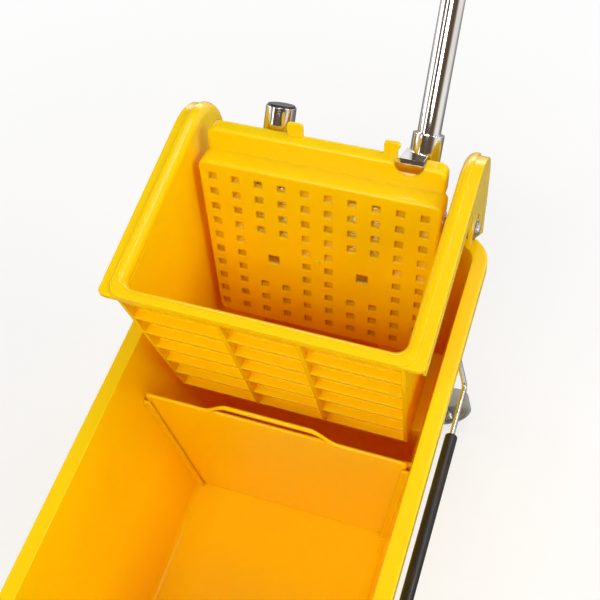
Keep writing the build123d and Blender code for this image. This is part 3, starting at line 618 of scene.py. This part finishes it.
def floorFinish(plan):
    # a matt floor that takes shadows, washed white for the camera and in reflections, where a painted shadow dims
    # it close to the object
    material = bpy.data.materials.new("paleFloor")
    material.use_nodes = True
    tree = material.node_tree
    tree.nodes.clear()
    output = addNode(tree, "ShaderNodeOutputMaterial")
    matt = addNode(tree, "ShaderNodeBsdfDiffuse")
    matt.inputs["Color"].default_value = (plan["floorTone"], plan["floorTone"], plan["floorTone"], 1)
    white = addNode(tree, "ShaderNodeEmission")
    mix = addNode(tree, "ShaderNodeMixShader")
    rays = addNode(tree, "ShaderNodeLightPath").outputs
    coords = addNode(tree, "ShaderNodeTexCoord")
    reach = addNode(tree, "ShaderNodeVectorMath", operation="LENGTH")
    distance = reach.outputs["Value"]
    wire(tree, (coords.outputs["Object"], reach.inputs[0]))
    shiny = clamped(tree, "ADD", rays["Is Glossy Ray"], rays["Is Transmission Ray"])
    # painted shadow: reflections see the floor's white glow weak close to the object and full further out
    shine = clamped(tree, "MULTIPLY", shiny, fadeBy(tree, distance, plan["shineNear"], plan["shineFar"]))
    seenFade = fadeBy(tree, distance, plan["seenNear"], plan["seenFar"])
    seen = clamped(tree, "MULTIPLY", rays["Is Camera Ray"], seenFade)
    wire(tree, (clamped(tree, "ADD", shine, rays["Is Camera Ray"]), white.inputs["Strength"]),
         (clamped(tree, "ADD", seen, shiny), mix.inputs["Fac"]), (matt.outputs[0], mix.inputs[1]),
         (white.outputs[0], mix.inputs[2]), (mix.outputs[0], output.inputs["Surface"]))
    return material


def makeFloor(plan):
    disc = bmesh.new()
    bmesh.ops.create_circle(disc, cap_ends=True, segments=plan["floorSides"], radius=plan["floorRadius"])
    mesh = bpy.data.meshes.new("studioFloor")
    disc.to_mesh(mesh)
    disc.free()
    mesh.materials.append(floorFinish(plan))
    floor = bpy.data.objects.new("studioFloor", mesh)
    scene.collection.objects.link(floor)


makeFloor(stagePlan)

roomPlan = {
    "strength": 1.0,
    "tones": [                           # from level, at 0.5, to straight up
        (0.5, (1.0, 1.0, 1.0)),
        (0.58, (0.96, 0.96, 0.96)),
        (0.64, (0.34, 0.30, 0.26)),
        (0.68, (0.15, 0.10, 0.06)),
        (0.74, (0.12, 0.08, 0.05)),
        (0.84, (0.17, 0.16, 0.15)),
        (1.0, (0.2, 0.2, 0.2)),
    ],
}


def makeRoom(plan):
    # white at the horizon, dim warm walls above it and a grey ceiling
    world = bpy.data.worlds.new("studioRoom")
    scene.world = world
    world.use_nodes = True
    tree = world.node_tree
    coords = addNode(tree, "ShaderNodeTexCoord")
    height = addNode(tree, "ShaderNodeSeparateXYZ")
    level = addNode(tree, "ShaderNodeMapRange")
    level.inputs["From Min"].default_value = -1.0
    level.inputs["From Max"].default_value = 1.0
    wire(tree, (coords.outputs["Generated"], height.inputs[0]),
         (height.outputs["Z"], level.inputs["Value"]))
    background = tree.nodes["Background"]
    background.inputs["Strength"].default_value = plan["strength"]
    wire(tree, (rampFrom(tree, level.outputs["Result"], plan["tones"]), background.inputs["Color"]))


makeRoom(roomPlan)

lampPlans = [
    {"name": "frontPanel", "at": (0.1, -1.28, 1.88), "along": (1, 0, 0), "size": (0.8, 0.8), "watts": 15.0},
    {"name": "rightPanel", "at": (1.6, 0.1, 1.5), "along": (0, 1, 0), "size": (0.8, 0.8), "watts": 15.0},
    {"name": "backPanel", "at": (1.0, 1.15, 1.8), "along": (1, 0, 0), "size": (0.8, 0.8), "watts": 7.5},
    {"name": "leftPanel", "at": (-1.3, -1.1, 1.6), "along": (0, 0, 1), "size": (1.0, 0.4), "watts": 4.0},
    {"name": "glintPanel", "at": (-0.5, -1.1, 2.0), "along": (1, 0, 0), "size": (0.3, 0.3), "watts": 5.5},
    {"name": "backStrip", "at": (0.2, 1.1, 1.95), "along": (0, 1, 0), "size": (0.9, 0.06), "watts": 3.0},
    {"name": "lowStrip", "at": (-1.1, -1.6, 0.85), "along": (0, 0, 1), "size": (1.0, 0.12), "watts": 1.0},
    {"name": "leftFill", "at": (-1.9, 0.2, 0.55), "along": (0, 1, 0), "size": (1.2, 0.5), "watts": 8.0},
    {"name": "backFill", "at": (-0.3, 2.1, 0.55), "along": (1, 0, 0), "size": (1.2, 0.5), "watts": 8.0},
]
aimPoint = Vector((0.0, 0.05, 0.28))


def makeLamp(plan):
    lamp = bpy.data.lights.new(plan["name"], "AREA")
    lamp.shape = "RECTANGLE"
    lamp.size, lamp.size_y = plan["size"]
    lamp.energy = plan["watts"]
    holder = bpy.data.objects.new(plan["name"], lamp)
    scene.collection.objects.link(holder)
    place = Vector(plan["at"])
    back = (place - aimPoint).normalized()
    side = Vector(plan["along"])
    side = (side - side.dot(back) * back).normalized()
    turn = Matrix((side, back.cross(side), back)).transposed()
    holder.matrix_world = Matrix.Translation(place) @ turn.to_4x4()


for lampPlan in lampPlans:
    makeLamp(lampPlan)

cameraPlan = {
    "right": (0.94471, 0.31671, -0.08502),
    "up": (-0.22100, 0.80644, 0.54847),
    "ahead": (-0.24226, 0.49935, -0.83184),
    "place": (0.20009, -0.28959, 0.99681),
    "lens": 59.811,
    "sensor": 36.0,
    "clip": 0.01,
}


def makeCamera(plan):
    camera = bpy.data.cameras.new("photoCamera")
    camera.lens = plan["lens"]
    camera.sensor_width = plan["sensor"]
    camera.clip_start = plan["clip"]
    holder = bpy.data.objects.new("photoCamera", camera)
    scene.collection.objects.link(holder)
    turn = Matrix((plan["right"], plan["up"], -Vector(plan["ahead"]))).transposed()
    holder.matrix_world = Matrix.Translation(plan["place"]) @ turn.to_4x4()
    scene.camera = holder


makeCamera(cameraPlan)
bouncePlan = {"all": 32, "diffuse": 28}     # many, because the bright tub lights itself
scene.view_settings.view_transform = "Standard"
scene.cycles.max_bounces = bouncePlan["all"]
scene.cycles.diffuse_bounces = bouncePlan["diffuse"]
print("stage set")
